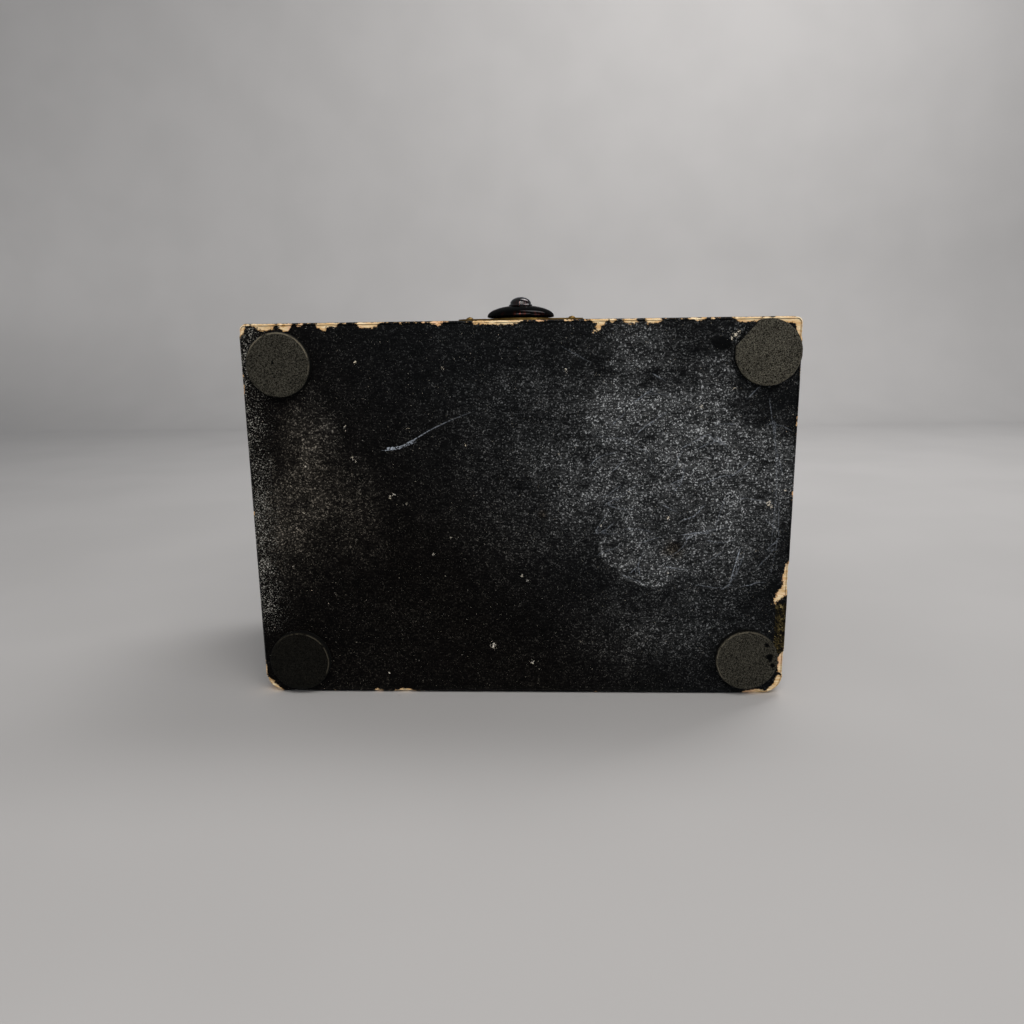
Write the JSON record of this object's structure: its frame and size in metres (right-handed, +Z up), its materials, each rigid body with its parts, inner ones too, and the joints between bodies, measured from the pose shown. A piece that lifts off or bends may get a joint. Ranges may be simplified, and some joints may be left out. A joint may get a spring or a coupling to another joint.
{
  "type": "wind-up music box",
  "caption": "Small lidded wooden music box on felt pads, with a turn catch, a mirror lid, a lined well, and a wound cylinder movement under glass.",
  "frame": {"origin": "middle of the case's footprint, on the surface that the felt pads stand on", "axes": "+Z up, +X to the right seen from the front, and the front with the catch faces -Y"},
  "size_m": [0.108, 0.0817, 0.0514],
  "materials": {
    "painted_wood": "black paint, worn to pale wood at the edges",
    "felt_pad": "dense dark felt",
    "raw_wood": "plain pale wood",
    "clear_glass": "clear",
    "velvet": "red velvet",
    "mirror_glass": "silvered",
    "tarnished_brass": "tarnished",
    "bronze": "dark brown glossy patina",
    "brass": "polished",
    "cast_brass": "satin",
    "steel": "satin",
    "spring_steel": "blued",
    "aluminium": "satin"
  },
  "bodies": {
    "case": {"base_panel": "painted_wood", "foot_pads": "felt_pad", "front_wall": "painted_wood", "back_wall": "painted_wood", "left_wall": "painted_wood", "right_wall": "painted_wood", "partition": "raw_wood", "cover_rails": "raw_wood", "glass_cover": "clear_glass", "well_cushion": "velvet", "well_lining": "velvet", "catch_plate": "tarnished_brass", "catch_plate_pins": "tarnished_brass", "case_hinge_leaves": "brass", "hinge_pins": "steel", "case_hinge_screws": "brass", "bedplate": "cast_brass", "bedplate_screws": "steel", "comb": "steel", "comb_screws": "steel", "cylinder_front_bracket": "cast_brass", "cylinder_rear_bracket": "cast_brass", "bracket_screws": "steel", "bridge_pillars": "brass", "barrel_bridge": "brass", "bridge_screws": "steel", "governor_frame": "cast_brass", "click_spring": "spring_steel", "click_screw": "steel"},
    "lid": {"lid_top": "painted_wood", "lid_front_rail": "painted_wood", "lid_back_rail": "painted_wood", "lid_side_rails": "painted_wood", "lid_lining": "velvet", "lid_mirror": "mirror_glass", "mirror_frame": "brass", "lid_peg": "raw_wood", "lid_hinge_leaves": "brass", "lid_hinge_screws": "brass", "strike": "brass", "strike_screws": "brass"},
    "catch": {"catch_knob": "bronze", "catch_spindle": "bronze", "catch_arm": "brass"},
    "barrel": {"spring_barrel": "brass", "barrel_cover": "brass", "mainspring": "spring_steel"},
    "winding": {"winding_arbor": "steel", "ratchet_wheel": "steel", "winding_key": "brass"},
    "click": {"click": "steel"},
    "cylinder": {"pin_cylinder": "brass", "cylinder_arbor": "steel", "cylinder_pinion": "brass", "cylinder_wheel": "brass"},
    "governor": {"governor_pinion": "steel", "worm_wheel": "brass"},
    "fan": {"fan_worm": "steel", "air_brake": "aluminium"},
    "stop": {"stop_rod": "steel"}
  },
  "joints": [
    {"name": "lid_hinge", "type": "hinge", "parent": "case", "child": "lid", "pos_m": [0, 0.035, 0.03575], "axis": [-1, 0, 0], "range_deg": [0, 98]},
    {"name": "catch_turn", "type": "hinge", "parent": "case", "child": "catch", "pos_m": [0, -0.038, 0.027], "axis": [0, 1, 0], "range_deg": [0, 90]},
    {"name": "barrel_spin", "type": "hinge", "parent": "case", "child": "barrel", "pos_m": [-0.032, 0.016, 0.012], "axis": [0, 0, 1], "continuous": true},
    {"name": "winding", "type": "hinge", "parent": "case", "child": "winding", "pos_m": [-0.032, 0.016, 0.03], "axis": [0, 0, 1], "continuous": true},
    {"name": "click_lift", "type": "hinge", "parent": "case", "child": "click", "pos_m": [-0.025, 0.0154, 0.022], "axis": [0, 0, -1], "range_deg": [0, 12], "stiffness_Nm_per_rad": 0.0002, "springref_deg": -5.73},
    {"name": "cylinder_spin", "type": "hinge", "parent": "case", "child": "cylinder", "pos_m": [-0.032, -0.0071, 0.0202], "axis": [0, 1, 0], "continuous": true},
    {"name": "governor_spin", "type": "hinge", "parent": "case", "child": "governor", "pos_m": [-0.02225, -0.022, 0.0202], "axis": [0, 1, 0], "continuous": true},
    {"name": "fan_spin", "type": "hinge", "parent": "case", "child": "fan", "pos_m": [-0.01665, -0.0232, 0.016], "axis": [0, 0, 1], "continuous": true},
    {"name": "stop_slide", "type": "slide", "parent": "case", "child": "stop", "axis": [0, 0, 1], "range_m": [0, 0.0025]}
  ],
  "couplings": [
    {"joint": "cylinder_spin", "follows": "barrel_spin", "ratio": -3},
    {"joint": "governor_spin", "follows": "barrel_spin", "ratio": 10},
    {"joint": "fan_spin", "follows": "barrel_spin", "ratio": 80},
    {"joint": "stop_slide", "follows": "lid_hinge", "m_per_rad": 0.00146}
  ]
}
